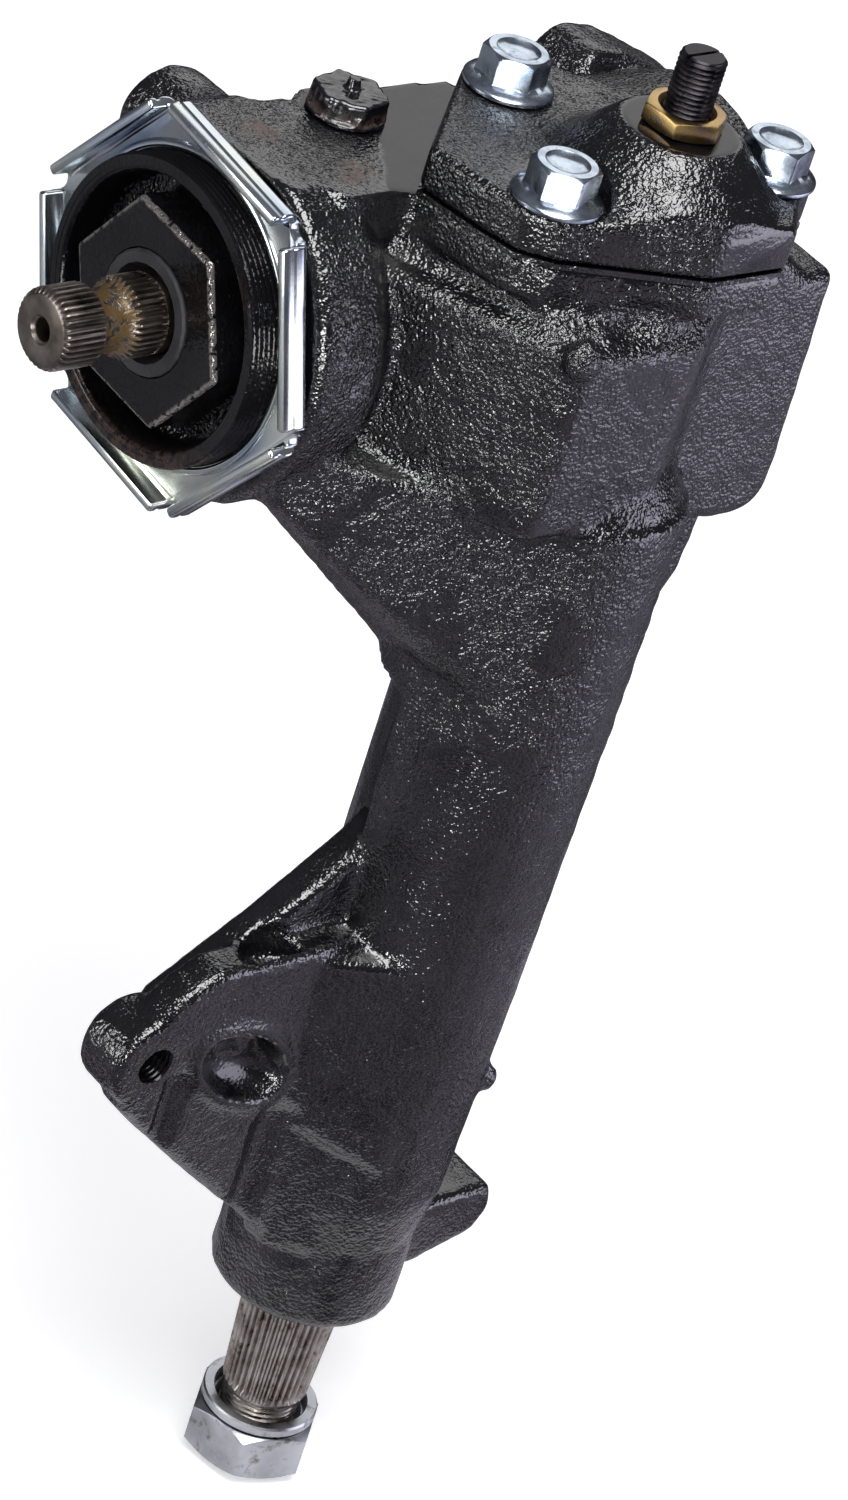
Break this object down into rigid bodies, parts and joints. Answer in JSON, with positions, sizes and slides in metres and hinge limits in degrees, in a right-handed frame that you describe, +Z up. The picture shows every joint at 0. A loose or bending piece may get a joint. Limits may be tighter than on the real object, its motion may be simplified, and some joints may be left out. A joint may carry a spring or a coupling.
{
  "type": "manual steering gearbox",
  "caption": "Recirculating-ball steering gearbox with a long sector shaft housing, side cover, splined input shaft and cast mounting ears.",
  "frame": {"origin": "centre of the sector shaft's lower end face", "axes": "+Z up the sector shaft towards the lash adjuster; the worm axis is parallel to X with the input end towards -X"},
  "size_m": [0.221, 0.1308, 0.4085],
  "materials": {
    "gloss_black_paint": "gloss black paint over cast texture",
    "zinc_steel": "bright zinc plate",
    "yellow_zinc": "yellow zinc plate",
    "black_oxide_steel": "black oxide",
    "bare_steel": "machined, bare",
    "hardened_steel": "ground",
    "bronze": "bored bronze",
    "seal_rubber": "moulded",
    "gasket_paper": "fibre sheet"
  },
  "bodies": {
    "gear_case": {"gear_housing": "gloss_black_paint", "side_cover": "gloss_black_paint", "filler_plug": "gloss_black_paint", "worm_bearing_adjuster": "gloss_black_paint", "cover_gasket": "gasket_paper", "cover_bolt_1": "zinc_steel", "cover_bolt_2": "zinc_steel", "cover_bolt_3": "zinc_steel", "adjuster_lock_nut": "zinc_steel", "lash_adjuster_jam_nut": "yellow_zinc", "lash_adjuster_screw": "black_oxide_steel", "lash_adjuster_shim": "hardened_steel", "cover_bushing": "bronze", "lower_sector_bushing": "bronze", "upper_sector_bushing": "bronze", "sector_shaft_seal": "seal_rubber", "input_shaft_seal": "seal_rubber", "input_bearing_cup": "hardened_steel", "end_bearing_cup": "hardened_steel", "input_bearing_retainer": "hardened_steel"},
    "sector_shaft_group": {"sector_shaft": "bare_steel", "pitman_lock_washer": "zinc_steel", "pitman_nut": "zinc_steel"},
    "worm": {"worm_shaft": "bare_steel"},
    "ball_nut_group": {"ball_nut": "hardened_steel", "ball_circuit_1": "hardened_steel", "ball_circuit_2": "hardened_steel", "ball_guide_1a": "hardened_steel", "ball_guide_1b": "hardened_steel", "ball_guide_2a": "hardened_steel", "ball_guide_2b": "hardened_steel", "ball_guide_clamp": "hardened_steel", "guide_clamp_screw_1": "black_oxide_steel", "guide_clamp_screw_2": "black_oxide_steel"},
    "input_ball_set": {"input_bearing_balls": "hardened_steel"},
    "end_ball_set": {"end_bearing_balls": "hardened_steel"}
  },
  "joints": [
    {"name": "worm_spin", "type": "hinge", "parent": "gear_case", "child": "worm", "pos_m": [-0.1221, 0.0535, 0.3225], "axis": [1, 0, 0], "range_deg": [-640, 640]},
    {"name": "nut_slide", "type": "slide", "parent": "gear_case", "child": "ball_nut_group", "axis": [1, 0, 0], "range_m": [-0.02105, 0.02105]},
    {"name": "sector_swing", "type": "hinge", "parent": "gear_case", "child": "sector_shaft_group", "pos_m": [0, 0, 0], "axis": [0, 0, 1], "range_deg": [-40, 40]},
    {"name": "input_balls_roll", "type": "hinge", "parent": "gear_case", "child": "input_ball_set", "pos_m": [-0.066, 0.0535, 0.3225], "axis": [1, 0, 0], "range_deg": [-240, 240]},
    {"name": "end_balls_roll", "type": "hinge", "parent": "gear_case", "child": "end_ball_set", "pos_m": [0.062, 0.0535, 0.3225], "axis": [1, 0, 0], "range_deg": [-240, 240]}
  ],
  "couplings": [
    {"joint": "worm_spin", "follows": "sector_swing", "ratio": 15.974},
    {"joint": "nut_slide", "follows": "sector_swing", "m_per_rad": -0.03},
    {"joint": "input_balls_roll", "follows": "sector_swing", "ratio": 5.9584},
    {"joint": "end_balls_roll", "follows": "sector_swing", "ratio": 5.9584}
  ]
}
